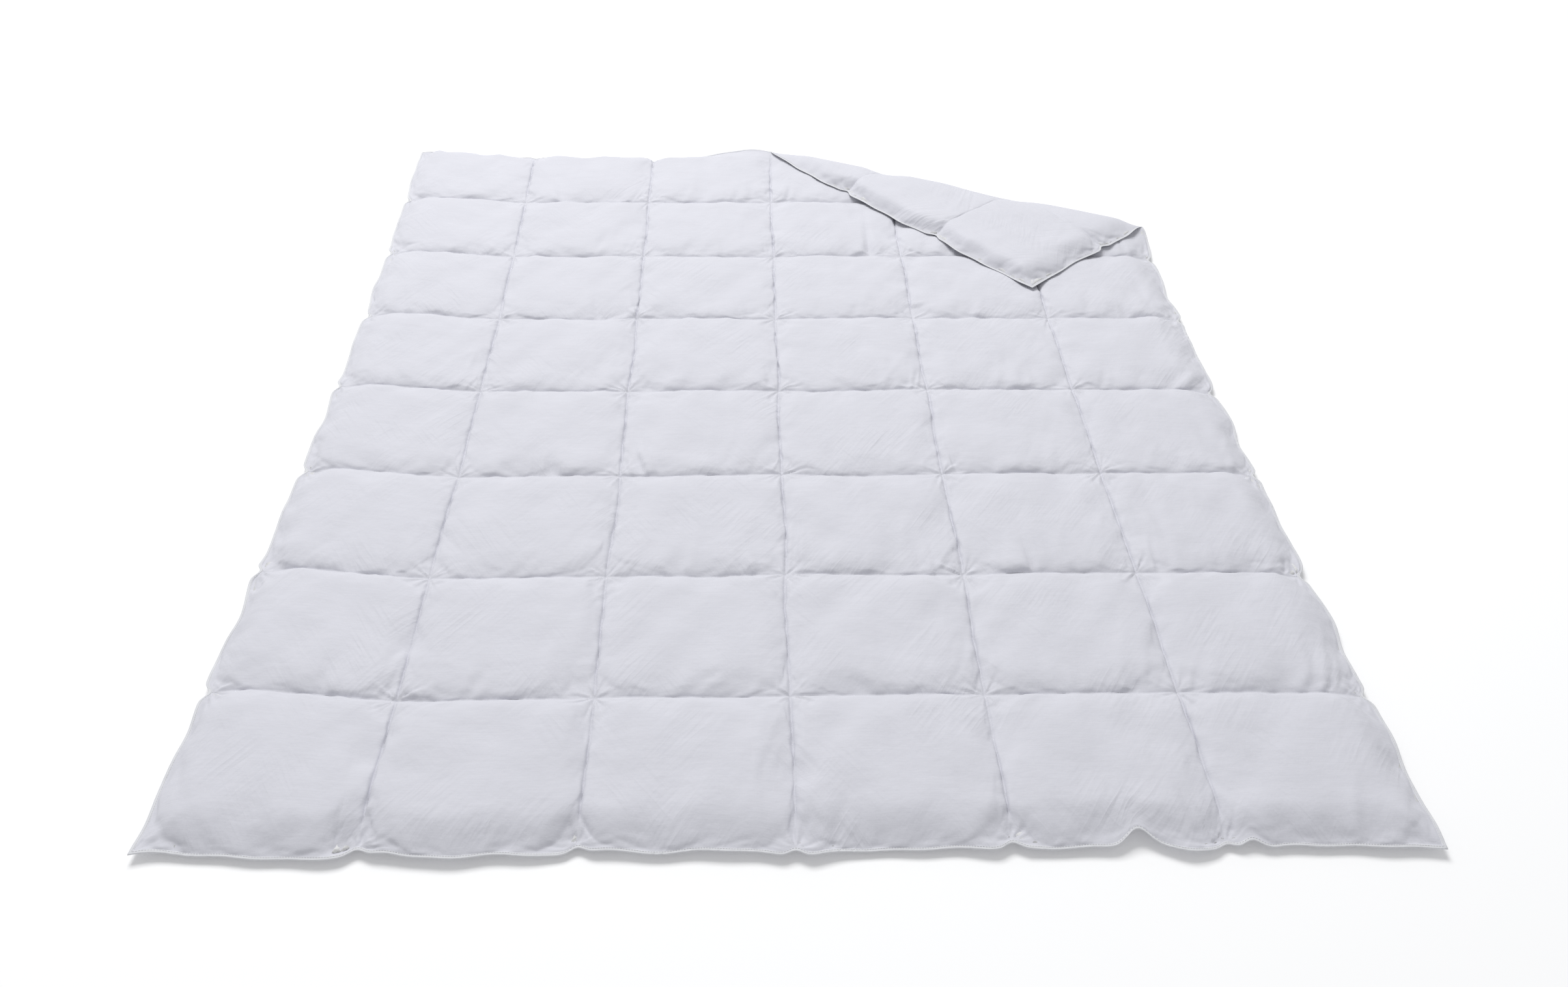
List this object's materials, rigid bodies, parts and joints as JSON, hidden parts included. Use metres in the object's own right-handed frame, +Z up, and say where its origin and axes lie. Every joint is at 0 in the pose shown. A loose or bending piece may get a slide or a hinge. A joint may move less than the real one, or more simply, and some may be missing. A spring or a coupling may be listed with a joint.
{
  "type": "duvet",
  "caption": "White baffle-box duvet with down and feather fill, lying flat with one corner turned back.",
  "frame": {"origin": "middle of the underside, on the surface that the duvet lies on", "axes": "+X across the width towards the turned corner's side, +Y along the length towards the turned corner's end, +Z up"},
  "size_m": [2, 2.4, 0.0843],
  "materials": {
    "ticking": "downproof cotton batiste, fine plain weave, slight sheen",
    "welt": "folded cotton binding, topstitched",
    "baffle": "thin woven cotton tape",
    "fill": "loose down and small feathers"
  },
  "bodies": {
    "quilt": {"baffle_grid": "baffle", "bottom_ticking": "ticking", "edge_welt": "welt", "fill_row1_col1": "fill", "fill_row1_col2": "fill", "fill_row1_col3": "fill", "fill_row1_col4": "fill", "fill_row1_col5": "fill", "fill_row1_col6": "fill", "fill_row2_col1": "fill", "fill_row2_col2": "fill", "fill_row2_col3": "fill", "fill_row2_col4": "fill", "fill_row2_col5": "fill", "fill_row2_col6": "fill", "fill_row3_col1": "fill", "fill_row3_col2": "fill", "fill_row3_col3": "fill", "fill_row3_col4": "fill", "fill_row3_col5": "fill", "fill_row3_col6": "fill", "fill_row4_col1": "fill", "fill_row4_col2": "fill", "fill_row4_col3": "fill", "fill_row4_col4": "fill", "fill_row4_col5": "fill", "fill_row4_col6": "fill", "fill_row5_col1": "fill", "fill_row5_col2": "fill", "fill_row5_col3": "fill", "fill_row5_col4": "fill", "fill_row5_col5": "fill", "fill_row5_col6": "fill", "fill_row6_col1": "fill", "fill_row6_col2": "fill", "fill_row6_col3": "fill", "fill_row6_col4": "fill", "fill_row6_col5": "fill", "fill_row6_col6": "fill", "fill_row7_col1": "fill", "fill_row7_col2": "fill", "fill_row7_col3": "fill", "fill_row7_col4": "fill", "fill_row7_col5": "fill", "fill_row7_col6": "fill", "fill_row8_col1": "fill", "fill_row8_col2": "fill", "fill_row8_col3": "fill", "fill_row8_col4": "fill", "fill_row8_col5": "fill", "top_ticking": "ticking"},
    "turned_corner": {"corner_baffle_grid_1": "baffle", "corner_baffle_grid_2": "baffle", "corner_bottom_ticking": "ticking", "corner_edge_welt": "welt", "corner_fill_row7_col6": "fill", "corner_fill_row8_col4": "fill", "corner_fill_row8_col5": "fill", "corner_fill_row8_col6": "fill", "corner_top_ticking": "ticking"}
  },
  "joints": [
    {"name": "corner_turn", "type": "hinge", "parent": "quilt", "child": "turned_corner", "pos_m": [-0.03, 1.2, 0.04215], "axis": [-0.9064, 0.4224, 0], "range_deg": [0, 180]}
  ]
}
